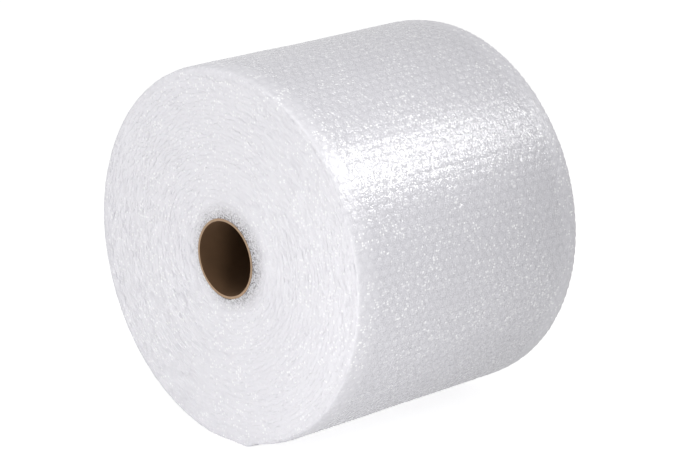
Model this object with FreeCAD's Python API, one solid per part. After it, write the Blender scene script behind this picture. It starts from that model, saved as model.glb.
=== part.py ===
import FreeCAD, Part
import math
import os

# A roll of small-bubble cushioning film wound on a paperboard tube, resting on its side.
# Millimetres. The roll's axis runs along Y, +Z is up, the floor is Z = 0 and the origin is
# under the middle of the roll. The end nearer to the onlooker faces -Y.

# Web: the wound film. Its width is the length of the roll.
WEB_WIDTH = 305.0
ROLL_RADIUS = 195.0
TURNS = 35
TURN_GAP = 0.6
CUT_EDGE = 0.8
TAIL_TAPER = 14.0

# Bubble rows. They run across the web and stand out of the outermost turn.
ROW_PITCH = 9.87
ROW_HEIGHT = 0.7
ROW_FACETS = 3

# Soft rims: the outer turns are drawn in a little at both ends of the roll.
RIM_DEPTH = 10.0
RIM_DRAW_IN = 2.5

# The roll lies on a small flat that its own weight has pressed.
FLAT_HALF_WIDTH = 25.0
FLAT_SHARE = 3.0

# The tail, the outer cut edge of the web, lies this far past straight down, under the +X side.
TAIL_PAST_BOTTOM = 12.0

# Paperboard tube, a three-inch core.
CORE_BORE = 76.2
CORE_WALL = 2.5
CORE_CLEARANCE = 0.1
# The tube is cut to the web's width; a positive value would set its ends back inside the web.
CORE_SETBACK = 0.0

# Largest distance between a turn's true curve and the flat facets that follow it.
CHORD_ERROR = 0.5

core_outer = CORE_BORE / 2 + CORE_WALL
core_length = WEB_WIDTH - 2 * CORE_SETBACK
first_radius = core_outer + CORE_CLEARANCE
turn_pitch = (ROLL_RADIUS - first_radius - CUT_EDGE) / TURNS
full_turn = 2 * math.pi
tail_angle = full_turn * TURNS
# The strip is described by its winding angle. Zero is where the web starts on the tube.
start_direction = math.radians(270.0 + TAIL_PAST_BOTTOM) - tail_angle
half_web = WEB_WIDTH / 2


def free_radius(angle):
    """Radius of the strip's outer side at a winding angle, before the flat is pressed."""
    return first_radius + CUT_EDGE + turn_pitch * angle / full_turn


bottom_angle = tail_angle - math.radians(TAIL_PAST_BOTTOM)
flat_radius = free_radius(bottom_angle)
flat_half_angle = math.asin(FLAT_HALF_WIDTH / flat_radius)
flat_depth = flat_radius * (1 - math.cos(flat_half_angle))
axis_height = flat_radius - flat_depth


def from_bottom(angle):
    """Direction of a winding angle, measured from straight down, between -180 and 180 degrees."""
    return (start_direction + angle + math.pi / 2 + math.pi) % full_turn - math.pi


def pressed(radius, angle):
    """The radius after the flat is pressed: the outermost turn gives way most, the first not at all."""
    away = from_bottom(angle)
    if abs(away) > math.pi / 4:
        return radius
    share = (radius - first_radius) / (flat_radius - first_radius)
    depth = flat_depth * min(max(share, 0.0), 1.0) ** FLAT_SHARE
    level = min(radius - depth, axis_height)
    return min(radius, level / math.cos(away))


def drawn_in(radius):
    """How far the web's side edge stands back from the end of the roll at a radius."""
    depth = ROLL_RADIUS - radius
    if depth >= RIM_DEPTH:
        return 0.0
    return RIM_DRAW_IN * (1 - depth / RIM_DEPTH) ** 2


def place(radius, angle):
    """X, Z and the half width of the web at a point of the strip's section."""
    turned = start_direction + angle
    reach = pressed(radius, angle)
    x = reach * math.cos(turned)
    z = axis_height + reach * math.sin(turned)
    return (x, z, half_web - drawn_in(radius))


def slot_angles(first, last):
    """Winding angles of the facet corners between two turns, closer together on small turns."""
    angles = [first]
    while True:
        step = 2 * math.acos(1 - CHORD_ERROR / free_radius(angles[-1]))
        if angles[-1] + 1.5 * step >= last:
            break
        angles.append(angles[-1] + step)
    angles.append(last)
    return angles


def start_side():
    """Inner side of the first turn: it hugs the tube and then climbs over the web's start."""
    facets = 24
    climb = full_turn / facets
    radius = first_radius / math.cos(climb / 2)
    return [(radius, climb * i) for i in range(facets)]


def outer_side():
    """Outer side of the last turn: one low ridge for each row of bubbles, none on the flat."""
    points = []
    angle = tail_angle - TAIL_TAPER / ROLL_RADIUS
    end = tail_angle - full_turn
    row = ROW_PITCH / ROLL_RADIUS
    corners = []
    count = 0
    while angle - row * count / ROW_FACETS > end + 0.3 * row / ROW_FACETS:
        share = count % ROW_FACETS / ROW_FACETS
        lift = 4 * share * (1 - share)
        corners.append((angle - row * count / ROW_FACETS, lift))
        count += 1
    corners.reverse()
    on_flat = [bottom_angle - flat_half_angle, bottom_angle + flat_half_angle]
    spare = row / ROW_FACETS / 3
    for here, lift in corners:
        if on_flat[0] - spare < here < on_flat[1] + spare:
            continue
        points.append((free_radius(here) - ROW_HEIGHT * (1 - lift), here))
    points += [(flat_radius, here) for here in on_flat]
    points.sort(key=lambda point: point[1])
    edge = free_radius(tail_angle - full_turn) + TURN_GAP + CUT_EDGE
    return points + [(edge, tail_angle)]


def web_solid():
    """The whole web as one strip: flat facets along the turns, drawn-in side edges at the rims."""
    slots = slot_angles(0.0, tail_angle - full_turn)
    inner = start_side()
    inner += [(free_radius(a) + TURN_GAP, a + full_turn) for a in slots]
    outer = [(free_radius(a), a) for a in slots]
    outer += outer_side()
    faces = []
    near_in = [place(r, a) for r, a in inner]
    near_out = [place(r, a) for r, a in outer]

    def point(place_of, side):
        x, z, half = place_of
        return FreeCAD.Vector(x, side * half, z)

    def wall(first, second):
        ring = [point(first, -1), point(second, -1), point(second, 1), point(first, 1)]
        faces.append(Part.Face(Part.makePolygon(ring + ring[:1])))

    for chain in (near_in, near_out):
        for first, second in zip(chain, chain[1:]):
            wall(first, second)
    wall(near_in[0], near_out[0])
    wall(near_in[-1], near_out[-1])

    # Side edges: one plane up to the rim, then narrow triangles that follow the soft rim.
    split_out = max(i for i, (r, a) in enumerate(outer) if drawn_in(r) == 0.0)
    limit = outer[split_out][1]
    split_in = max(i for i, (r, a) in enumerate(inner) if a <= limit)
    for side in (-1, 1):
        flat_part = near_in[: split_in + 1] + near_out[split_out::-1]
        ring = [point(p, side) for p in flat_part]
        faces.append(Part.Face(Part.makePolygon(ring + ring[:1])))
        i, j = split_in, split_out
        while i < len(inner) - 1 or j < len(outer) - 1:
            next_in = inner[i + 1][1] if i < len(inner) - 1 else math.inf
            next_out = outer[j + 1][1] if j < len(outer) - 1 else math.inf
            corner = [point(near_in[i], side), point(near_out[j], side)]
            if next_in < next_out:
                i += 1
                corner.append(point(near_in[i], side))
            else:
                j += 1
                corner.append(point(near_out[j], side))
            faces.append(Part.Face(Part.makePolygon(corner + corner[:1])))
    shell = Part.makeShell(faces)
    shell.sewShape()
    solid = Part.makeSolid(Part.Shell(shell.Faces))
    if solid.Volume < 0:
        solid.reverse()
    return solid


def core_solid():
    """The tube, cut square at both ends."""
    back = FreeCAD.Vector(0, -core_length / 2, axis_height)
    along = FreeCAD.Vector(0, 1, 0)
    tube = Part.makeCylinder(core_outer, core_length, back, along)
    return tube.cut(Part.makeCylinder(CORE_BORE / 2, core_length, back, along))


os.makedirs("parts", exist_ok=True)
core = core_solid()
web = web_solid()
# The tail makes the roll a little wider on one side; the origin is under the middle of the whole.
middle = FreeCAD.Vector(-web.BoundBox.Center.x, 0, 0)
core.translate(middle)
web.translate(middle)
core.exportStep("parts/core_tube.step")
web.exportStep("parts/bubble_web.step")
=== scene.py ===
import math

import bpy
import numpy as np
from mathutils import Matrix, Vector


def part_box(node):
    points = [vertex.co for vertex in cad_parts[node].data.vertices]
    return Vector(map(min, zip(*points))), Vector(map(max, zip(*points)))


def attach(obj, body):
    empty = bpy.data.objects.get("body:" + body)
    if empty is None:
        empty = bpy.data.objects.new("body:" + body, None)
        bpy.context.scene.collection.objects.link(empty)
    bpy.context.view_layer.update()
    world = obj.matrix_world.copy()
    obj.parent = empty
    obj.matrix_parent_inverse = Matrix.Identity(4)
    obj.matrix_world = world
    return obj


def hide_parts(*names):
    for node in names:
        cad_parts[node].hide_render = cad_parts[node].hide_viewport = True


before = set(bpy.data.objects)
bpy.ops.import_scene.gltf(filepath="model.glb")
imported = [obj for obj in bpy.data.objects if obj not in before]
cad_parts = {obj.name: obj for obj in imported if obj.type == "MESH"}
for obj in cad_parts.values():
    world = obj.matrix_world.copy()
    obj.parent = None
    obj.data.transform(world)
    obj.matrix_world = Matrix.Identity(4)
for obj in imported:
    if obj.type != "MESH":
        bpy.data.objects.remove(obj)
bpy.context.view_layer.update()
TUBE_LOW, TUBE_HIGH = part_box("core_tube")
WEB_LOW, WEB_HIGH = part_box("bubble_web")

bl_info = {
    "name": "Bubble film roll",
    "version": (1, 0, 0),
    "blender": (4, 5, 0),
    "location": "3D View > Sidebar > Film Roll",
    "description": "Dresses a wound roll of small-bubble film and sets up a plain studio for it",
    "category": "Add Mesh",
}


# Sizes and finishes that a user would change.


class WindingSizes(bpy.types.PropertyGroup):
    web_width: bpy.props.FloatProperty(
        name="Web width", description="Width of the film, which is the roll's length",
        default=WEB_HIGH[1] - WEB_LOW[1], unit="LENGTH")
    roll_radius: bpy.props.FloatProperty(
        name="Roll radius", description="Radius of the outermost turn at its tail",
        default=0.195, unit="LENGTH")
    tube_radius: bpy.props.FloatProperty(
        name="Tube radius", description="Outside radius of the cardboard tube",
        default=(TUBE_HIGH[0] - TUBE_LOW[0]) / 2, unit="LENGTH")
    tube_clearance: bpy.props.FloatProperty(
        name="Tube clearance", description="Room between the tube and the first turn",
        default=0.0001, unit="LENGTH")
    turns: bpy.props.IntProperty(
        name="Turns", description="Number of turns of film on the tube", default=35)
    turn_gap: bpy.props.FloatProperty(
        name="Turn gap", description="Room between one turn and the next",
        default=0.0006, unit="LENGTH")
    cut_edge: bpy.props.FloatProperty(
        name="Cut edge", description="Thickness of the film at its two cut edges",
        default=0.0008, unit="LENGTH")
    tail_taper: bpy.props.FloatProperty(
        name="Tail taper", description="Length over which the tail thins to its cut edge",
        default=0.014, unit="LENGTH")
    tail_past_bottom: bpy.props.FloatProperty(
        name="Tail place",
        description="Angle from straight down to the tail's edge, under the +X side",
        default=math.radians(12.0), unit="ROTATION")
    flat_half_width: bpy.props.FloatProperty(
        name="Flat half width", description="Half the width of the flat that the roll lies on",
        default=0.025, unit="LENGTH")
    rim_depth: bpy.props.FloatProperty(
        name="Rim depth", description="How deep the soft rim reaches below the outside",
        default=0.01, unit="LENGTH")
    rim_draw_in: bpy.props.FloatProperty(
        name="Rim draw-in", description="How far the outermost turn's edge stands back",
        default=0.0025, unit="LENGTH")


class BubbleSizes(bpy.types.PropertyGroup):
    row_pitch: bpy.props.FloatProperty(
        name="Row pitch", description="Distance between rows of bubbles along the film",
        default=0.00987, unit="LENGTH")
    bubble_pitch: bpy.props.FloatProperty(
        name="Bubble pitch", description="Distance between bubbles in a row",
        default=0.0114, unit="LENGTH")
    bubble_radius: bpy.props.FloatProperty(
        name="Bubble radius", description="Radius of one bubble", default=0.0049, unit="LENGTH")
    bubble_height: bpy.props.FloatProperty(
        name="Bubble height", description="How far a bubble stands out of the outermost turn",
        default=0.0004, unit="LENGTH")
    unevenness: bpy.props.FloatProperty(
        name="Unevenness", description="How much the winding swells and sinks in broad places",
        default=0.0005, unit="LENGTH")


class FilmFinish(bpy.types.PropertyGroup):
    clear_colour: bpy.props.FloatVectorProperty(
        name="Film colour", description="Colour of many layers of clear film",
        default=(0.65, 0.643, 0.685), size=3, subtype="COLOR", min=0, max=1)
    # Near the rims the side pales towards this colour: partly the look of the film turning onto the
    # end, partly painted glow of light that scatters in through the end.
    edge_colour: bpy.props.FloatVectorProperty(
        name="Edge colour", description="Colour of the film's edges at the ends and the rims",
        default=(0.8, 0.79, 0.83), size=3, subtype="COLOR", min=0, max=1)
    # The painted shade and the random mottle mix the film towards this colour.
    shaded_colour: bpy.props.FloatVectorProperty(
        name="Shaded colour", description="Colour where the layers show less light",
        default=(0.44, 0.435, 0.475), size=3, subtype="COLOR", min=0, max=1)
    # Darker ring round the tube: partly the tube showing through the first turns, partly painted
    # shade beside the tube.
    tube_shine_and_shade_colour: bpy.props.FloatVectorProperty(
        name="Core shine-through",
        description="Colour where the brown tube shows through the first turns",
        default=(0.13, 0.12, 0.125), size=3, subtype="COLOR", min=0, max=1)
    roughness: bpy.props.FloatProperty(
        name="Roughness", description="Roughness of the film", default=0.22, min=0, max=1,
        subtype="FACTOR")


class BoardFinish(bpy.types.PropertyGroup):
    board_colour: bpy.props.FloatVectorProperty(
        name="Board colour", description="Colour of the tube's brown board",
        default=(0.16, 0.085, 0.038), size=3, subtype="COLOR", min=0, max=1)
    cut_colour: bpy.props.FloatVectorProperty(
        name="Cut colour", description="Colour of the board's cut end",
        default=(0.5, 0.34, 0.22), size=3, subtype="COLOR", min=0, max=1)


class StudioSettings(bpy.types.PropertyGroup):
    world_light: bpy.props.FloatProperty(
        name="World light", description="Strength of the even light from all round",
        default=0.35, min=0)
    end_light: bpy.props.FloatProperty(
        name="End light", description="Power of the large lamp that faces the near end",
        default=9.3, unit="POWER", min=0)
    top_light: bpy.props.FloatProperty(
        name="Top light", description="Power of the lamp overhead",
        default=8.6, unit="POWER", min=0)
    back_light: bpy.props.FloatProperty(
        name="Back light", description="Power of the soft box behind that shines along the side",
        default=0.295, unit="POWER", min=0)
    side_light: bpy.props.FloatProperty(
        name="Side light", description="Power of the small lamp beside the near rim",
        default=0.6, unit="POWER", min=0)


# Fixed values. Lengths are in metres unless said otherwise.

# Soft rims: the outermost film rounds the edge and lies over the turns inside it.
RIM_COVER = 0.0165     # depth below the side to which it lies over the end
RIM_BEND = 0.0022      # depth over which it turns from the side to the end
RIM_RUN = 0.009        # how far back from the end it begins to turn
RIM_HAZE = 0.022       # how far into the side the rim's look reaches: paler colour, partly painted glow
RIM_HAZE_SHARE = 0.4   # strength of that look on the side; on the end it is 1
RIM_FULL_FROM = 0.004  # the strength starts to grow this far past the start of the turn
RIM_FULL_RUN = 0.006   # and is full after this length more
RIM_SETTLE = 0.004     # length over which it settles onto the end
RIM_SINK = 0.00012     # how far it then lies below the end plane
RIM_TUCK = 0.0006      # how far its inner border sinks further
RIM_TUCK_RUN = 0.0065  # length over which that border sinks
RIM_FLATTEN = 0.85     # share of the film's relief that is lost on the end
RIM_BELOW = 0.002      # the rim's profile is drawn for a film this far inside the roll's radius
FLAT_SHARE = 3         # how fast the pressed flat fades towards the inner turns

# The lattice of bubbles. Rings: share of the bubble's radius, share of its height, painted shade
# (darkest in the crease at the bubble's rim).
BUBBLE_RINGS = ((0.5, 0.95, 0.0), (0.82, 0.7, 0.2), (1.0, 0.0, 1.0))
RING_POINTS = 12       # a corner and a middle for each side of the hexagon round a bubble
BETWEEN_SHADE = 0.35   # painted shade of the film between bubbles
SMALL_LUMPS = 0.0002   # height of the film's small lumps
COLUMN_SHIFT = 0.0021  # how far the lattice is moved across the web
BUBBLE_LIFT = 0.6      # share of the bubble height that the air still holds up
LIFT_SPREAD = 0.25     # how much that share varies
BURST_LIMIT = 0.8      # lump value above which a bubble has burst, about one in fifty
BURST_LIFT = 0.1       # share of the height that a burst bubble keeps
WELD_SCALE = 1e5       # points of neighbouring cells are joined when they agree to 0.01 mm
WELD_OFFSET = 0.31     # keeps the rounding for that away from halves

# The tail.
TAIL_COLUMNS = 161     # points across the web
TAIL_WAVE = 0.0009     # how far the cut edge waves along the web
TAIL_FOOT = 0.0018     # how far the cut edge's foot reaches into the turn below
TAIL_START = 0.0005    # how far the tail starts under the outer film
TAIL_CRUMPLE = 0.0003  # height of its small lumps
# painted shade of the tail film
TAIL_SHADE = 0.3
TAIL_STEPS = (-1.15, -1.0, -0.72, -0.45, -0.2, 0.0, 0.0)  # its lines of points, in tapers
TAIL_OPEN = 0.76       # share of the half web up to which its cut edge stands off the turn below
TAIL_CLOSING = 0.1     # share over which it comes down on that turn
TAIL_BOW = 1.3         # how late the film thins towards the cut edge

# The ends of the roll.
END_STEP = 0.0021      # length of film between two points
GROUND_DEPTH = 0.0003  # mean depth of the ground between turns below the end plane
GROUND_SWELL = 0.0001  # height of each of the two swells in it
EDGE_RISE = 0.0001     # mean depth of a film's free edge, and how much it varies
FILM_WAVE = 0.0009     # how far the flat film waves in and out
FILM_LEAN = 0.0012     # how far its free edge leans
ARCH_WAVE = 0.0008     # how far the bubble film waves in and out
ARCH_LEAN = 0.0014     # how far its free edge leans
EDGE_FOOT = 0.0003     # how far a film's foot reaches into the ground
CUT_SIZE = 0.6         # mean share of the turn's thickness that a cut bubble fills
CUT_SPREAD = 0.4       # how much that share varies
CUT_OFF_MIDDLE = 0.7   # each second row is cut nearer its border and looks this much lower
CUT_BOW = 0.7          # roundness of a cut bubble; 1 is a plain sine
CUT_MOST = 0.95        # largest share that one fills
EDGE_SHADES = [0.35, 0.15, 0.0]     # painted shade from a film's foot, where it stands in the ground, to its free edge
GROUND_SHADES = [0.35, 0.2, 0.35]   # painted shade across the ground between two turns, darker beside the films
COORD_LANE = 0.01      # room between two lines of points in the film coordinates

# Materials.
# Painted glints: white dots in the colour stand in for sparkling highlights of the film.
PAINTED_GLINT_COLOUR = (0.96, 0.96, 0.97)
FILM_IOR = 1.7
HALO_SHIFT = (0.005, 0.002)  # the darker ring's centre (tube shine-through and painted shade) lies this far off the axis in X and Z
HALO_START = 0.002     # it begins this far inside the tube's outside
HALO_REACH = 0.018     # and ends this far outside it
FLOOR_GLOW = 0.74      # light that the lens sees coming from the floor itself
FLOOR_PAINT = (0.75, 0.75, 0.75, 1.0)
FLOOR_HALF = 30        # half the floor's width

# Lamps, measured from the tube's middle: name, place, size, beam in degrees and aim.
CENTRE = (0.0, 0.0, 0.0)
LAMPS = (
    ("end_lamp", (-0.35, -1.6, 0.2), (0.9, 0.9), 180.0, CENTRE),
    ("top_lamp", (0.2, -0.3, 1.6), (0.8, 0.8), 180.0, CENTRE),
    ("back_soft_box", (0.76, 0.7, 0.88), (0.34, 0.24), 32.0, (0.13, -0.24, 0.1)),
    ("side_lamp", (0.78, -0.46, -0.04), (0.25, 0.2), 90.0, (0.2, -0.02, -0.1)),
)

# Camera: it looks level with the line to the tube's middle, from a little right of it and below.
CAMERA_TURN, CAMERA_RISE = 46.58, 17.07     # degrees from -Y towards +X, and upwards
CAMERA_AWAY = 2.9606
CAMERA_RIGHT, CAMERA_DOWN = 0.0125, 0.0058
CAMERA_SENSOR, CAMERA_LENS = 36.0, 149.4    # millimetres


# Winding: where a point of the film lies.


class Winding:
    """The spiral that the film follows, the flat it lies on and the soft rims."""

    def __init__(self, sizes):
        self.first_radius = sizes.tube_radius + sizes.tube_clearance
        self.cut_edge = sizes.cut_edge
        self.turn_gap = sizes.turn_gap
        self.roll_radius = sizes.roll_radius
        self.pitch = (sizes.roll_radius - self.first_radius - sizes.cut_edge) / sizes.turns
        self.tail = 2 * math.pi * sizes.turns
        self.taper = sizes.tail_taper
        self.start = math.radians(270.0) + sizes.tail_past_bottom - self.tail
        self.half_web = sizes.web_width / 2
        self.rim_depth = sizes.rim_depth
        self.rim_draw_in = sizes.rim_draw_in
        bottom = self.tail - sizes.tail_past_bottom
        self.flat_radius = self.outer(bottom)
        self.flat_half_angle = math.asin(sizes.flat_half_width / self.flat_radius)
        self.flat_depth = self.flat_radius * (1 - math.cos(self.flat_half_angle))
        self.axis_height = self.flat_radius - self.flat_depth
        self.axis_x = (TUBE_HIGH[0] + TUBE_LOW[0]) / 2

    def outer(self, angle):
        """Radius of the strip's outer side at a winding angle."""
        return self.first_radius + self.cut_edge + self.pitch * angle / (2 * math.pi)

    def pressed(self, radius, angle):
        """Radius after the flat is pressed: the outermost turn gives way most."""
        away = (self.start + angle + 1.5 * math.pi) % (2 * math.pi) - math.pi
        share = (radius - self.first_radius) / (self.flat_radius - self.first_radius)
        depth = self.flat_depth * np.clip(share, 0, 1) ** FLAT_SHARE
        level = np.minimum(radius - depth, self.axis_height)
        near = np.abs(away) < math.pi / 4
        return np.where(near, np.minimum(radius, level / np.cos(np.where(near, away, 0))), radius)

    def drawn_in(self, radius):
        """How far the film's side edge stands back from the end of the roll."""
        depth = self.roll_radius - radius
        return self.rim_draw_in * np.clip(1 - depth / self.rim_depth, 0, 1) ** 2

    def points(self, radius, angle, across):
        """Points in the frame for arrays of radius, winding angle and place across the web."""
        reach = self.pressed(radius, angle)
        turned = self.start + angle
        return np.stack([self.axis_x + reach * np.cos(turned), across,
                         self.axis_height + reach * np.sin(turned)], axis=-1)

    def rim_line(self):
        """The rim's profile: distance past its start, depth below the side and its slope."""
        depth = RIM_COVER * np.linspace(0, 1, 200) ** 2
        back = self.rim_back(self.roll_radius - RIM_BELOW, depth)
        run = np.concatenate([[0.0], np.cumsum(np.hypot(np.diff(depth), np.diff(back)))])
        slope = np.arctan2(np.gradient(depth), -np.gradient(back))
        return run, depth, slope

    def rim_back(self, radius, depth):
        """How far the film stands back from the end of the roll at a depth below the side."""
        bend = RIM_RUN * np.clip(1 - depth / RIM_BEND, 0, 1) ** 2
        return self.drawn_in(radius - depth) + bend

    def skin(self, radius, angle, across, lift):
        """Points of the outermost film: along the side, round the soft rim and onto the end."""
        start = self.half_web - self.rim_back(radius, 0.0 * radius)
        run, depths, slopes = self.rim_line()
        past = np.abs(across) - start
        depth = np.where(past > 0, np.interp(past, run, depths), 0)
        slope = np.where(past > 0, np.interp(past, run, slopes), 0)
        settle = np.clip((past - RIM_RUN) / RIM_SETTLE, 0, 1)
        border = np.clip((past - run[-1] + RIM_TUCK_RUN) / RIM_TUCK_RUN, 0, 1)
        tuck = RIM_SINK * settle + RIM_TUCK * border
        y = np.where(past > 0, self.half_web - self.rim_back(radius, depth) - tuck, np.abs(across))
        lift = lift * (1 - RIM_FLATTEN * settle)
        y = y + lift * np.sin(slope)
        reach = radius - depth + lift * np.cos(slope)
        return self.points(reach, angle, np.sign(across) * y)

    def skin_limit(self, radius):
        """Furthest place across the web that the outermost film reaches, over the rim."""
        return self.half_web - self.rim_back(radius, 0.0 * radius) + self.rim_line()[0][-1]

    def rim_share(self, radius, across):
        """How near the outermost film is to the rim: 0 well inside the side, 1 on the end."""
        past = np.abs(across) - self.half_web + self.rim_back(radius, 0.0 * radius)
        share = np.clip(past / RIM_HAZE + 1, 0, 1)
        full = np.clip((past - RIM_FULL_FROM) / RIM_FULL_RUN, 0, 1)
        strength = RIM_HAZE_SHARE + (1 - RIM_HAZE_SHARE) * full
        return share * share * (3 - 2 * share) * strength

    def angles_at(self, lengths):
        """Winding angles at lengths of film measured from the tube."""
        slope = self.pitch / (2 * math.pi)
        base = self.first_radius + self.cut_edge
        return (np.sqrt(base * base + 2 * slope * lengths) - base) / slope

    def length_to(self, angle):
        """Length of film wound up to a winding angle."""
        return (self.first_radius + self.cut_edge) * angle + self.pitch * angle ** 2 / (4 * math.pi)


def lumps(across, along, seed):
    """Smooth pseudo-random values between -1 and 1, one lump per unit, the same on each run."""
    low_a, low_b = np.floor(across).astype(np.int64), np.floor(along).astype(np.int64)
    part_a, part_b = across - low_a, along - low_b
    part_a = part_a * part_a * (3 - 2 * part_a)
    part_b = part_b * part_b * (3 - 2 * part_b)

    def corner(a, b):
        value = (a * 374761393 + b * 668265263 + seed * 362437) & 0xFFFFFFFF
        value = ((value ^ (value >> 13)) * 1274126177) & 0xFFFFFFFF
        return ((value ^ (value >> 16)) & 0xFFFF) / 32767.5 - 1

    top = corner(low_a, low_b) * (1 - part_a) + corner(low_a + 1, low_b) * part_a
    bottom = corner(low_a, low_b + 1) * (1 - part_a) + corner(low_a + 1, low_b + 1) * part_a
    return top * (1 - part_b) + bottom * part_b


def mesh_piece(name, points, faces, coords, shades, rims):
    """A smooth piece from arrays; each point has film coordinates, a painted shade and a rim share.
    """
    mesh = bpy.data.meshes.new(name)
    mesh.from_pydata(points.tolist(), [], faces)
    mesh.validate()
    lay = mesh.uv_layers.new(name="film_lay")
    shade = mesh.attributes.new("film_painted_shade", "FLOAT", "POINT")
    shade.data.foreach_set("value", np.asarray(shades, dtype=np.float32))
    rim = mesh.attributes.new("film_rim", "FLOAT", "POINT")
    rim.data.foreach_set("value", np.asarray(rims, dtype=np.float32))
    corners = np.empty(len(mesh.loops), dtype=np.int32)
    mesh.loops.foreach_get("vertex_index", corners)
    lay.data.foreach_set("uv", np.asarray(coords, dtype=np.float32)[corners].ravel())
    mesh.shade_smooth()
    piece = bpy.data.objects.new(name, mesh)
    bpy.context.collection.objects.link(piece)
    return piece


# The outermost turn, with every bubble.


def bubble_cell(bubbles):
    """One bubble and the film round it: places along and across, heights, faces and the painted
    shade, darkest at its rim.
    """
    pitch = bubbles.bubble_pitch
    spots, heights, shades = [(0.0, 0.0)], [1.0], [0.0]
    for share, height, shade in BUBBLE_RINGS:
        for step in range(RING_POINTS):
            turn = math.radians(360 // RING_POINTS * step)
            reach = share * bubbles.bubble_radius
            spots.append((reach * math.cos(turn), reach * math.sin(turn)))
            heights.append(height)
            shades.append(shade)
    for step in range(RING_POINTS):
        turn = math.radians(360 // RING_POINTS * step)
        reach = pitch / math.sqrt(3) if step % 2 == 0 else pitch / 2
        spots.append((reach * math.cos(turn), reach * math.sin(turn)))
        heights.append(0.0)
        shades.append(BETWEEN_SHADE)
    count = RING_POINTS
    faces = [(0, 1 + (step + 1) % count, 1 + step) for step in range(count)]
    for ring in range(len(BUBBLE_RINGS)):
        for step in range(count):
            a, b = 1 + ring * count + step, 1 + ring * count + (step + 1) % count
            faces.append((a, b, b + count, a + count))
    return np.array(spots), np.array(heights), np.array(shades), faces


def slack(bubbles, along, across):
    """Broad swelling and small lumps of the wound film, mostly below its full radius."""
    broad = bubbles.unevenness * (lumps(along * 14, across * 16, 1) - 1.0)
    return broad + SMALL_LUMPS * lumps(along * 230, across * 380, 2)


def outer_film(winding, bubbles, first_row, last_row, name):
    """A stretch of the outermost turn between two rows counted back from the tail."""
    spots, heights, shades, cell_faces = bubble_cell(bubbles)
    rows, columns = [], []
    reach = int(winding.half_web / bubbles.bubble_pitch) + 3
    for row in range(first_row, last_row):
        for column in range(-reach, reach + 1):
            rows.append(-(winding.taper + (row + 0.5) * bubbles.row_pitch))
            columns.append((column + 0.5 * (row % 2)) * bubbles.bubble_pitch + COLUMN_SHIFT)
    rows, columns = np.array(rows), np.array(columns)
    widest = winding.skin_limit(np.array(winding.roll_radius)) + bubbles.bubble_pitch
    keep = np.abs(columns) < widest
    rows, columns = rows[keep], columns[keep]
    lifts = BUBBLE_LIFT + LIFT_SPREAD * lumps(rows * 731, columns * 977, 3)
    lifts = np.where(lumps(rows * 613, columns * 587, 8) > BURST_LIMIT, BURST_LIFT, lifts)
    along = rows[:, None] + spots[None, :, 0]
    across = columns[:, None] + spots[None, :, 1]
    lift = lifts[:, None] * heights[None, :]
    shade = np.broadcast_to(shades, along.shape)
    spread = np.stack([along.ravel(), across.ravel()], axis=1)
    keys = np.round(spread * WELD_SCALE + WELD_OFFSET).astype(np.int64)
    _, first, places = np.unique(keys, axis=0, return_index=True, return_inverse=True)
    places = places.reshape(along.shape)
    along, across = along.ravel()[first], across.ravel()[first]
    lift, shade = lift.ravel()[first], shade.ravel()[first]
    along = np.minimum(along, -winding.taper)
    angle = winding.tail + along / winding.roll_radius
    radius = winding.outer(angle)
    limit = winding.skin_limit(radius)
    across = np.clip(across, -limit, limit)
    level = (lift - 1) * bubbles.bubble_height
    level += slack(bubbles, along, across)
    points = winding.skin(radius, angle, across, level)
    faces = []
    at_limit = np.abs(across) >= limit - 1e-9
    for cell in places:
        for face in cell_faces:
            corners = [int(cell[i]) for i in face]
            if not all(at_limit[i] for i in corners):
                faces.append(corners)
    rim = winding.rim_share(radius, across)
    shade = shade * (1 - rim)
    return mesh_piece(name, points, faces, np.stack([along, across], axis=1), shade, rim)


def tail_film(winding, bubbles, name):
    """The tail: the last row's film thins to a cut edge that lies on the turn below."""
    along_steps = np.array(TAIL_STEPS)
    last = len(along_steps) - 1
    wide = TAIL_COLUMNS
    columns = np.tile(np.linspace(-1, 1, wide), len(along_steps))
    step = np.repeat(np.arange(len(along_steps)), wide)
    to_cut = np.clip(step - 1, 0, 5) / 5
    along = np.repeat(along_steps * winding.taper, wide)
    along = along + TAIL_WAVE * (lumps(columns * 9, columns * 0, 5) - 1) * to_cut
    angle = winding.tail + along / winding.roll_radius
    below = winding.outer(angle - 2 * math.pi)
    film = winding.outer(angle) - 0.5 * bubbles.bubble_height
    # The cut edge meets the turn below before the film rounds the rims.
    closed = np.clip((np.abs(columns) - TAIL_OPEN) / TAIL_CLOSING, 0, 1)
    edge = below + (winding.turn_gap + winding.cut_edge) * (1 - closed)
    share = np.clip(1 + along / winding.taper, 0, 1)
    radius = film * (1 - share ** TAIL_BOW) + edge * share ** TAIL_BOW
    radius = np.where(step == last, below - TAIL_FOOT, radius)
    across = columns * winding.skin_limit(radius)
    past = np.abs(across) - winding.half_web + winding.rim_back(radius, 0.0 * radius)
    on_end = past > RIM_RUN + 0.002
    level = slack(bubbles, along, across) * (1 - share * (1 - closed))
    level += TAIL_CRUMPLE * lumps(along * 500, columns * 40, 6) * (to_cut > 0) * (step < last)
    level -= TAIL_START * (step == 0)
    faces = []
    for i in range(last):
        for j in range(wide - 1):
            a = i * wide + j
            if i < last - 1 or not on_end[a]:
                faces.append((a, a + 1, a + wide + 1, a + wide))
    points = winding.skin(radius, angle, across, level)
    rim = winding.rim_share(radius, across)
    shade = TAIL_SHADE * (1 - rim)
    return mesh_piece(name, points, faces, np.stack([along, across], axis=1), shade, rim)


# The ends of the roll: film edges and cut bubbles.


def ribbon(points_by_level):
    """Faces of a strip whose levels are rows of points of the same count."""
    count = len(points_by_level[0])
    faces = []
    for level in range(len(points_by_level) - 1):
        for i in range(count - 1):
            a = level * count + i
            faces.append((a, a + 1, a + count + 1, a + count))
    return faces


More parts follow.
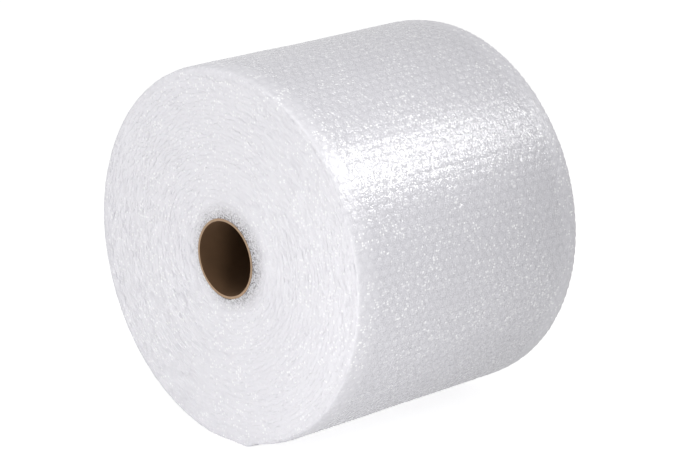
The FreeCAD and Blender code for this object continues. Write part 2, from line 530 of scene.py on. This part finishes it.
def film_end(winding, bubbles, side, name):
    """One end of the roll: the spiral's film edges, the cut bubbles between them, the ground."""
    seed = 20 if side < 0 else 40
    # The outermost film covers the last turn and a half.
    last = winding.tail - 3 * math.pi
    total = winding.length_to(last)
    lengths = np.linspace(0, total, int(total / END_STEP))
    angle = winding.angles_at(lengths)
    outside = winding.outer(angle)
    turned = winding.start + angle
    plane = winding.half_web - winding.drawn_in(outside)
    parts, faces, coords, shades = [], [], [], []

    def add(radii, depths, shade_levels):
        base = sum(len(p) for p in parts)
        for radius, depth, shade in zip(radii, depths, shade_levels):
            parts.append(winding.points(radius, angle, side * (plane - depth)))
            lane = np.full(len(lengths), float(len(coords)) * COORD_LANE)
            coords.append(np.stack([lengths, lane], axis=1))
            shades.append(np.full(len(lengths), shade))
        faces.extend([tuple(base + i for i in face) for face in ribbon(parts[-len(radii):])])

    def swelling(radius, scale, lump_seed):
        return lumps(radius * np.cos(turned) * scale, radius * np.sin(turned) * scale,
                     lump_seed)

    # Ground between the turns, a little below the end plane.
    inner = np.maximum(outside - winding.pitch, winding.first_radius)
    middle = (inner + outside) / 2

    def ground_at(radius):
        small = GROUND_SWELL * swelling(radius, 300, seed + 1)
        return GROUND_DEPTH + small + GROUND_SWELL * swelling(radius, 60, seed + 2)

    add([inner, middle, outside], [ground_at(inner), ground_at(middle), ground_at(outside)],
        GROUND_SHADES)

    # The flat film, on the outside of each turn.
    lean = FILM_LEAN * lumps(lengths * 210, outside * 0, seed + 3)
    rise = EDGE_RISE + EDGE_RISE * lumps(lengths * 220, outside * 0, seed + 4)
    film = outside + FILM_WAVE * lumps(lengths * 120, outside * 0, seed + 5)
    add([film - 0.0002, film + lean * 0.4, film + lean],
        [ground_at(film) + EDGE_FOOT, ground_at(film) * 0.5 + rise * 0.5, rise], EDGE_SHADES)

    # The bubble film: it touches the flat film between rows and swells inward at each row.
    phase = lengths / bubbles.row_pitch
    row = np.floor(phase)
    swell = np.clip(np.sin(math.pi * (phase - row)), 0, 1) ** CUT_BOW
    size = CUT_SIZE + CUT_SPREAD * lumps(row * 1.7, row * 0, seed + 6)
    size = np.where(row % 2 == 0, size, size * CUT_OFF_MIDDLE)
    depth_in = np.minimum(winding.pitch - 0.0007, outside - winding.first_radius - 0.0002)
    arch = film - 0.0003 - depth_in * np.clip(size * swell, 0, CUT_MOST)
    arch = arch + ARCH_WAVE * lumps(lengths * 220, outside * 0, seed + 7)
    innermost = winding.first_radius + 0.0001
    arch = np.maximum(arch, innermost)
    rise = EDGE_RISE + EDGE_RISE * lumps(lengths * 230, outside * 0, seed + 8)
    lean = ARCH_LEAN * lumps(lengths * 230, outside * 0, seed + 9)
    add([arch, arch + lean * 0.5, np.maximum(arch + lean, innermost)],
        [ground_at(arch) + EDGE_FOOT, ground_at(arch) * 0.5 + rise * 0.5, rise], EDGE_SHADES)
    shades = np.concatenate(shades)
    return mesh_piece(name, np.concatenate(parts), faces, np.concatenate(coords), shades,
                      np.ones(len(shades)))


# Materials.


def node(tree, kind, x, y, **sockets):
    """A node with its sockets set: a value is written, and an output is linked."""
    made = tree.nodes.new(kind)
    made.location = (x, y)
    for name, value in sockets.items():
        numbered = name[0] == "i" and name[1:].isdigit()
        socket = made.inputs[int(name[1:]) if numbered else name]
        if isinstance(value, bpy.types.NodeSocket):
            tree.links.new(value, socket)
        else:
            socket.default_value = value
    return made


def math_node(tree, operation, x, y, *values, clamp=False):
    """A Math node of the given operation; returns its output."""
    made = tree.nodes.new("ShaderNodeMath")
    made.operation = operation
    made.use_clamp = clamp
    made.location = (x, y)
    for place, value in enumerate(values):
        if isinstance(value, bpy.types.NodeSocket):
            tree.links.new(value, made.inputs[place])
        else:
            made.inputs[place].default_value = value
    return made.outputs[0]


def mixed(tree, x, y, factor, first, second):
    """A colour mix; returns its output."""
    made = tree.nodes.new("ShaderNodeMix")
    made.data_type = "RGBA"
    made.location = (x, y)
    for place, value in ((0, factor), (6, first), (7, second)):
        if isinstance(value, bpy.types.NodeSocket):
            tree.links.new(value, made.inputs[place])
        elif place == 0:
            made.inputs[place].default_value = value
        else:
            made.inputs[place].default_value = (*value, 1.0)
    return made.outputs[2]


def new_group(name, inputs, outputs):
    """An empty shader node group with named sockets; returns the tree and its two end nodes."""
    tree = bpy.data.node_groups.new(name, "ShaderNodeTree")
    for label, kind, default in inputs:
        socket = tree.interface.new_socket(label, in_out="INPUT", socket_type=kind)
        if default is not None:
            socket.default_value = default
    for label, kind in outputs:
        tree.interface.new_socket(label, in_out="OUTPUT", socket_type=kind)
    start, end = tree.nodes.new("NodeGroupInput"), tree.nodes.new("NodeGroupOutput")
    start.location, end.location = (-900, 0), (700, 0)
    return tree, start, end


def film_crumple_group():
    """Fine wrinkles and creases of thin film, a random mottle and painted glints, used on the
    outside and on the ends.
    """
    found = bpy.data.node_groups.get("Film crumple")
    if found:
        return found
    tree, start, end = new_group(
        "Film crumple",
        [("Place", "NodeSocketVector", None), ("Stretch", "NodeSocketVector", (1.0, 1.0, 1.0)),
         ("Size", "NodeSocketFloat", 300.0), ("Pebbles", "NodeSocketFloat", 0.5),
         ("Pebble size", "NodeSocketFloat", 400.0)],
        [("Height", "NodeSocketFloat"), ("Mottle", "NodeSocketFloat"),
         ("Painted glints", "NodeSocketFloat")])
    scaled = node(tree, "ShaderNodeVectorMath", -700, 100, i0=start.outputs["Place"],
                  i1=start.outputs["Stretch"])
    scaled.operation = "MULTIPLY"
    streaks = node(tree, "ShaderNodeTexNoise", -450, 200, Vector=scaled.outputs[0],
                   Scale=start.outputs["Size"], Detail=2.0, Roughness=0.6)
    half = math_node(tree, "MULTIPLY", -700, -250, start.outputs["Size"], 0.35)
    pebble = node(tree, "ShaderNodeTexVoronoi", -450, 450, Vector=start.outputs["Place"],
                  Scale=start.outputs["Pebble size"], Randomness=0.9)
    pebble.feature = "SMOOTH_F1"
    round_top = math_node(tree, "MULTIPLY", -200, 450, pebble.outputs["Distance"],
                          start.outputs["Pebbles"])
    height = math_node(tree, "SUBTRACT", 250, 200, streaks.outputs["Fac"], round_top)
    broad = node(tree, "ShaderNodeTexNoise", -450, -350, Vector=start.outputs["Place"],
                 Scale=half, Detail=2.0, Roughness=0.5)
    spread = math_node(tree, "MULTIPLY_ADD", -200, -350, broad.outputs["Fac"], 2.2, -0.6,
                       clamp=True)
    # Painted glints: sparse white dots, in clusters, that stand in for sparkling highlights of the
    # film.
    dots = node(tree, "ShaderNodeTexVoronoi", -450, -600, Vector=start.outputs["Place"],
                Scale=360.0)
    pick = node(tree, "ShaderNodeSeparateColor", -200, -700, Color=dots.outputs["Color"])
    chosen = math_node(tree, "MULTIPLY_ADD", 0, -700, pick.outputs[0], 8.0, -5.6, clamp=True)
    small = math_node(tree, "MULTIPLY_ADD", 0, -550, dots.outputs["Distance"], -4.5, 2.3,
                      clamp=True)
    painted_glint = math_node(tree, "MULTIPLY", 200, -600, chosen, small)
    clusters = node(tree, "ShaderNodeTexNoise", 0, -850, Vector=start.outputs["Place"],
                    Scale=22.0, Detail=1.0, Roughness=0.5)
    cluster = math_node(tree, "MULTIPLY_ADD", 200, -850, clusters.outputs["Fac"], 5.0, -1.6,
                        clamp=True)
    painted_glint = math_node(tree, "MULTIPLY", 400, -700, painted_glint, cluster)
    tree.links.new(painted_glint, end.inputs["Painted glints"])
    tree.links.new(height, end.inputs["Height"])
    tree.links.new(spread, end.inputs["Mottle"])
    return tree


def film_material(name, finish, on_end):
    """Clear film in many layers: white and glossy, with painted shade at the bubble rims and in the
    hollows, painted glints, and near the tube a darker ring of shine-through and painted shade.
    """
    material = bpy.data.materials.new(name)
    material.use_nodes = True
    tree = material.node_tree
    tree.nodes.clear()
    result = tree.nodes.new("ShaderNodeOutputMaterial")
    result.location = (900, 0)
    lay = node(tree, "ShaderNodeUVMap", -1200, 200)
    lay.uv_map = "film_lay"
    place = node(tree, "ShaderNodeTexCoord", -1200, -100)
    shade = node(tree, "ShaderNodeAttribute", -1200, -400)
    shade.attribute_name = "film_painted_shade"
    crumple = tree.nodes.new("ShaderNodeGroup")
    crumple.node_tree = film_crumple_group()
    crumple.location = (-900, 200)
    if on_end:
        tree.links.new(place.outputs["Object"], crumple.inputs["Place"])
        crumple.inputs["Stretch"].default_value = (1.0, 0.6, 1.0)
        crumple.inputs["Size"].default_value = 420.0
        crumple.inputs["Pebbles"].default_value = 0.3
        crumple.inputs["Pebble size"].default_value = 300.0
    else:
        tree.links.new(lay.outputs["UV"], crumple.inputs["Place"])
        crumple.inputs["Stretch"].default_value = (0.2, 1.0, 1.0)
        crumple.inputs["Size"].default_value = 600.0
        crumple.inputs["Pebbles"].default_value = 0.55
        crumple.inputs["Pebble size"].default_value = 540.0
    mottle = math_node(tree, "MULTIPLY", -600, 50, crumple.outputs["Mottle"],
                       0.06 if on_end else 0.25)
    # Painted shade at the bubble rims and in the hollows between turns, with a random mottle,
    # darkens the film.
    painted_shade_and_mottle = math_node(tree, "MULTIPLY_ADD", -400, -100, shade.outputs["Fac"],
                       0.06 if on_end else 0.35, mottle, clamp=True)
    rim = node(tree, "ShaderNodeAttribute", -1200, -650)
    rim.attribute_name = "film_rim"
    # Near the rims the film pales towards the edge colour: partly the look of the film turning onto
    # the end, partly painted glow of light that scatters in through the end.
    clear = mixed(tree, -400, 150, rim.outputs["Fac"], finish.clear_colour, finish.edge_colour)
    colour = mixed(tree, -200, 100, painted_shade_and_mottle, clear, finish.shaded_colour)
    # Painted glints: white dots over the colour stand in for sparkling highlights.
    colour = mixed(tree, 0, 150, crumple.outputs["Painted glints"], colour, PAINTED_GLINT_COLOUR)
    if on_end:
        tube = (TUBE_HIGH[0] - TUBE_LOW[0]) / 2
        # The photograph shows this darker ring of shine-through and painted shade wider on the +X
        # side, so its centre is moved there.
        axis = ((TUBE_HIGH[0] + TUBE_LOW[0]) / 2 + HALO_SHIFT[0], 0.0,
                (TUBE_HIGH[2] + TUBE_LOW[2]) / 2 + HALO_SHIFT[1])
        from_axis = node(tree, "ShaderNodeVectorMath", -900, -500, i0=place.outputs["Object"],
                         i1=axis)
        from_axis.operation = "SUBTRACT"
        level = node(tree, "ShaderNodeVectorMath", -700, -500, i0=from_axis.outputs[0],
                     i1=(1.0, 0.0, 1.0))
        level.operation = "MULTIPLY"
        reach = node(tree, "ShaderNodeVectorMath", -500, -500, i0=level.outputs[0])
        reach.operation = "LENGTH"
        near = node(tree, "ShaderNodeMapRange", -300, -500, Value=reach.outputs["Value"])
        near.inputs["From Min"].default_value = tube - HALO_START
        near.inputs["From Max"].default_value = tube + HALO_REACH
        near.inputs["To Min"].default_value = 1.0
        near.inputs["To Max"].default_value = 0.0
        speckle = node(tree, "ShaderNodeTexNoise", -500, -750, Vector=place.outputs["Object"],
                       Scale=620.0, Detail=2.0, Roughness=0.6)
        grain = math_node(tree, "MULTIPLY_ADD", -300, -750, speckle.outputs["Fac"], 6.0, -2.7,
                          clamp=True)
        grain = math_node(tree, "MULTIPLY_ADD", -100, -650, grain, near.outputs["Result"], 0.28)
        # The ring is partly the tube showing through the first turns and partly painted shade
        # beside the tube.
        tube_shine_and_shade = math_node(tree, "MULTIPLY", 50, -400, near.outputs["Result"], grain, clamp=True)
        colour = mixed(tree, 100, 0, tube_shine_and_shade, colour, finish.tube_shine_and_shade_colour)
    rough = math_node(tree, "MULTIPLY_ADD", -200, 350, crumple.outputs["Mottle"], 0.1,
                      finish.roughness)
    rough = math_node(tree, "MULTIPLY_ADD", 0, 350, rim.outputs["Fac"], 0.25 if on_end else 0.3,
                      rough)
    height = crumple.outputs["Height"]
    if not on_end:
        # The wrinkles run out where the film is drawn tight round the rim.
        slack = math_node(tree, "MULTIPLY_ADD", 0, -400, rim.outputs["Fac"], -0.7, 1.0)
        height = math_node(tree, "MULTIPLY", 150, -350, height, slack)
    bump = node(tree, "ShaderNodeBump", 300, -300, Height=height)
    bump.inputs["Strength"].default_value = 0.22 if on_end else 1.0
    bump.inputs["Distance"].default_value = 0.0006 if on_end else 0.0008
    shader = node(tree, "ShaderNodeBsdfPrincipled", 550, 0, **{"Base Color": colour})
    tree.links.new(rough, shader.inputs["Roughness"])
    tree.links.new(bump.outputs["Normal"], shader.inputs["Normal"])
    shader.inputs["IOR"].default_value = FILM_IOR
    shader.inputs["Specular IOR Level"].default_value = 1.0
    tree.links.new(shader.outputs[0], result.inputs["Surface"])
    return material


def board_material(name, finish):
    """Brown spirally wound board: paper fibres, broad blotches and a paler cut end."""
    material = bpy.data.materials.new(name)
    material.use_nodes = True
    tree = material.node_tree
    tree.nodes.clear()
    result = tree.nodes.new("ShaderNodeOutputMaterial")
    result.location = (900, 0)
    place = node(tree, "ShaderNodeTexCoord", -1200, 0)
    normal = node(tree, "ShaderNodeNewGeometry", -1200, -400)
    parts = node(tree, "ShaderNodeSeparateXYZ", -1000, -400, Vector=normal.outputs["True Normal"])
    facing = math_node(tree, "ABSOLUTE", -800, -400, parts.outputs["Y"])
    cut = math_node(tree, "GREATER_THAN", -600, -400, facing, 0.8)
    fibres = node(tree, "ShaderNodeTexNoise", -800, 200, Vector=place.outputs["Object"],
                  Scale=320.0, Detail=4.0, Roughness=0.65)
    blotches = node(tree, "ShaderNodeTexNoise", -800, 0, Vector=place.outputs["Object"],
                    Scale=35.0, Detail=2.0, Roughness=0.5)
    spread = math_node(tree, "MULTIPLY_ADD", -600, 0, blotches.outputs["Fac"], 0.9, 0.05,
                       clamp=True)
    dark = tuple(c * 0.62 for c in finish.board_colour)
    body = mixed(tree, -400, 100, spread, dark, finish.board_colour)
    pale = tuple(c * 0.7 for c in finish.cut_colour)
    edge = mixed(tree, -400, -150, fibres.outputs["Fac"], pale, finish.cut_colour)
    colour = mixed(tree, -100, 0, cut, body, edge)
    bump = node(tree, "ShaderNodeBump", 300, -300, Height=fibres.outputs["Fac"])
    bump.inputs["Strength"].default_value = 0.4
    bump.inputs["Distance"].default_value = 0.0004
    shader = node(tree, "ShaderNodeBsdfPrincipled", 550, 0, **{"Base Color": colour})
    tree.links.new(bump.outputs["Normal"], shader.inputs["Normal"])
    shader.inputs["Roughness"].default_value = 0.85
    tree.links.new(shader.outputs[0], result.inputs["Surface"])
    return material


def seen_or_mirrored(tree, x, y):
    """1 for a ray from the lens, straight or by reflection or refraction, and 0 for other rays."""
    ray = node(tree, "ShaderNodeLightPath", x, y)
    seen = math_node(tree, "MAXIMUM", x + 250, y, ray.outputs["Is Camera Ray"],
                     ray.outputs["Is Glossy Ray"])
    return math_node(tree, "MAXIMUM", x + 450, y, seen, ray.outputs["Is Transmission Ray"])


def floor_material(name):
    """A white ground: the lens sees it white, and the roll's shadow stays on it."""
    material = bpy.data.materials.new(name)
    material.use_nodes = True
    tree = material.node_tree
    tree.nodes.clear()
    result = tree.nodes.new("ShaderNodeOutputMaterial")
    result.location = (600, 0)
    glow = math_node(tree, "MULTIPLY", 50, 200, seen_or_mirrored(tree, -600, 200), FLOOR_GLOW)
    white = node(tree, "ShaderNodeEmission", 200, 200, Strength=glow)
    paint = tree.nodes.new("ShaderNodeBsdfDiffuse")
    paint.location = (200, 0)
    paint.inputs["Color"].default_value = FLOOR_PAINT
    both = node(tree, "ShaderNodeAddShader", 400, 100, i0=white.outputs[0], i1=paint.outputs[0])
    tree.links.new(both.outputs[0], result.inputs["Surface"])
    return material


# Operators.


def place_piece(piece, material, *nodes):
    piece.data.materials.append(material)
    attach(piece, "root")
    if nodes:
        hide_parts(*nodes)


class ROLL_OT_outer_film(bpy.types.Operator):
    """Make the outermost turn of film with its bubbles and its tail"""
    bl_idname = "roll.outer_film"
    bl_label = "Outer film"

    def execute(self, context):
        scene = context.scene
        winding = Winding(scene.winding_sizes)
        bubbles = scene.bubble_sizes
        material = film_material("Bubble film", scene.film_finish, False)
        step = bubbles.row_pitch / winding.roll_radius
        rows = math.ceil((2 * math.pi - winding.taper / winding.roll_radius) / step) + 1
        half = rows // 2
        lower = outer_film(winding, bubbles, 0, half, "film_turn_lower")
        place_piece(lower, material, "bubble_web")
        place_piece(outer_film(winding, bubbles, half, rows, "film_turn_upper"), material)
        place_piece(tail_film(winding, bubbles, "film_tail"), material)
        return {"FINISHED"}


class ROLL_OT_film_ends(bpy.types.Operator):
    """Make both ends of the roll from the film's edges and cut bubbles"""
    bl_idname = "roll.film_ends"
    bl_label = "Film ends"

    def execute(self, context):
        scene = context.scene
        winding = Winding(scene.winding_sizes)
        material = film_material("Film edges", scene.film_finish, True)
        for side, name in ((-1, "near_film_edges"), (1, "far_film_edges")):
            place_piece(film_end(winding, scene.bubble_sizes, side, name), material)
        return {"FINISHED"}


class ROLL_OT_tube_board(bpy.types.Operator):
    """Give the cardboard tube its finish"""
    bl_idname = "roll.tube_board"
    bl_label = "Tube board"

    def execute(self, context):
        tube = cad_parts["core_tube"]
        material = board_material("Tube board", context.scene.board_finish)
        tube.data.materials.clear()
        tube.data.materials.append(material)
        return {"FINISHED"}


class ROLL_OT_studio(bpy.types.Operator):
    """Set up the floor, the lamps, the world light and the camera"""
    bl_idname = "roll.studio"
    bl_label = "Studio"

    def execute(self, context):
        scene = context.scene
        studio = scene.studio_settings
        middle = Vector(((TUBE_LOW[0] + TUBE_HIGH[0]) / 2, 0.0, (TUBE_LOW[2] + TUBE_HIGH[2]) / 2))
        mesh = bpy.data.meshes.new("floor")
        half = FLOOR_HALF
        corners = [(-half, -half, 0), (half, -half, 0), (half, half, 0), (-half, half, 0)]
        mesh.from_pydata(corners, [], [(0, 1, 2, 3)])
        floor = bpy.data.objects.new("floor", mesh)
        context.collection.objects.link(floor)
        mesh.materials.append(floor_material("White ground"))

        world = bpy.data.worlds.new("Studio world")
        scene.world = world
        world.use_nodes = True
        tree = world.node_tree
        tree.nodes.clear()
        result = tree.nodes.new("ShaderNodeOutputWorld")
        level = math_node(tree, "MULTIPLY_ADD", 200, 0, seen_or_mirrored(tree, -450, 0),
                          1.0 - studio.world_light, studio.world_light)
        light = node(tree, "ShaderNodeBackground", 400, 0, Strength=level)
        light.inputs["Color"].default_value = (1.0, 1.0, 1.0, 1.0)
        tree.links.new(light.outputs[0], result.inputs["Surface"])

        powers = (studio.end_light, studio.top_light, studio.back_light, studio.side_light)
        for (name, place, size, beam, aim), power in zip(LAMPS, powers):
            data = bpy.data.lights.new(name, "AREA")
            data.shape = "RECTANGLE"
            data.size, data.size_y = size
            data.energy = power
            data.spread = math.radians(beam)
            made = bpy.data.objects.new(name, data)
            made.location = middle + Vector(place)
            made.rotation_mode = "QUATERNION"
            made.rotation_quaternion = (Vector(aim) - Vector(place)).to_track_quat("-Z", "Y")
            context.collection.objects.link(made)

        turn, rise = math.radians(CAMERA_TURN), math.radians(CAMERA_RISE)
        back = Vector((math.sin(turn) * math.cos(rise), -math.cos(turn) * math.cos(rise),
                       math.sin(rise)))
        right = Vector((math.cos(turn), math.sin(turn), 0.0))
        down = back.cross(right) * -1
        data = bpy.data.cameras.new("camera")
        data.sensor_width, data.lens = CAMERA_SENSOR, CAMERA_LENS
        camera = bpy.data.objects.new("camera", data)
        camera.location = (middle + back * CAMERA_AWAY + right * CAMERA_RIGHT
                           + down * CAMERA_DOWN)
        camera.rotation_mode = "QUATERNION"
        camera.rotation_quaternion = (-back).to_track_quat("-Z", "Y")
        context.collection.objects.link(camera)
        scene.camera = camera
        scene.view_settings.view_transform = "Standard"
        return {"FINISHED"}


class ROLL_PT_panel(bpy.types.Panel):
    """Sizes, finishes and steps of the film roll"""
    bl_idname = "ROLL_PT_panel"
    bl_label = "Film Roll"
    bl_space_type = "VIEW_3D"
    bl_region_type = "UI"
    bl_category = "Film Roll"

    def draw(self, context):
        layout = self.layout
        scene = context.scene
        for title, group in (("Winding", scene.winding_sizes), ("Bubbles", scene.bubble_sizes),
                             ("Film", scene.film_finish), ("Board", scene.board_finish),
                             ("Studio", scene.studio_settings)):
            box = layout.box()
            box.label(text=title)
            for name in group.bl_rna.properties.keys():
                if name not in ("rna_type", "name"):
                    box.prop(group, name)
        for operator in OPERATORS:
            layout.operator(operator.bl_idname)


GROUPS = (("winding_sizes", WindingSizes), ("bubble_sizes", BubbleSizes),
          ("film_finish", FilmFinish), ("board_finish", BoardFinish),
          ("studio_settings", StudioSettings))
OPERATORS = (ROLL_OT_outer_film, ROLL_OT_film_ends, ROLL_OT_tube_board, ROLL_OT_studio)


def register():
    for name, group in GROUPS:
        bpy.utils.register_class(group)
        setattr(bpy.types.Scene, name, bpy.props.PointerProperty(type=group))
    for made in OPERATORS + (ROLL_PT_panel,):
        bpy.utils.register_class(made)


def unregister():
    for made in reversed(OPERATORS + (ROLL_PT_panel,)):
        bpy.utils.unregister_class(made)
    for name, group in reversed(GROUPS):
        delattr(bpy.types.Scene, name)
        bpy.utils.unregister_class(group)


def main():
    register()
    bpy.ops.roll.outer_film()
    bpy.ops.roll.film_ends()
    bpy.ops.roll.tube_board()
    bpy.ops.roll.studio()


if __name__ == "__main__":
    main()
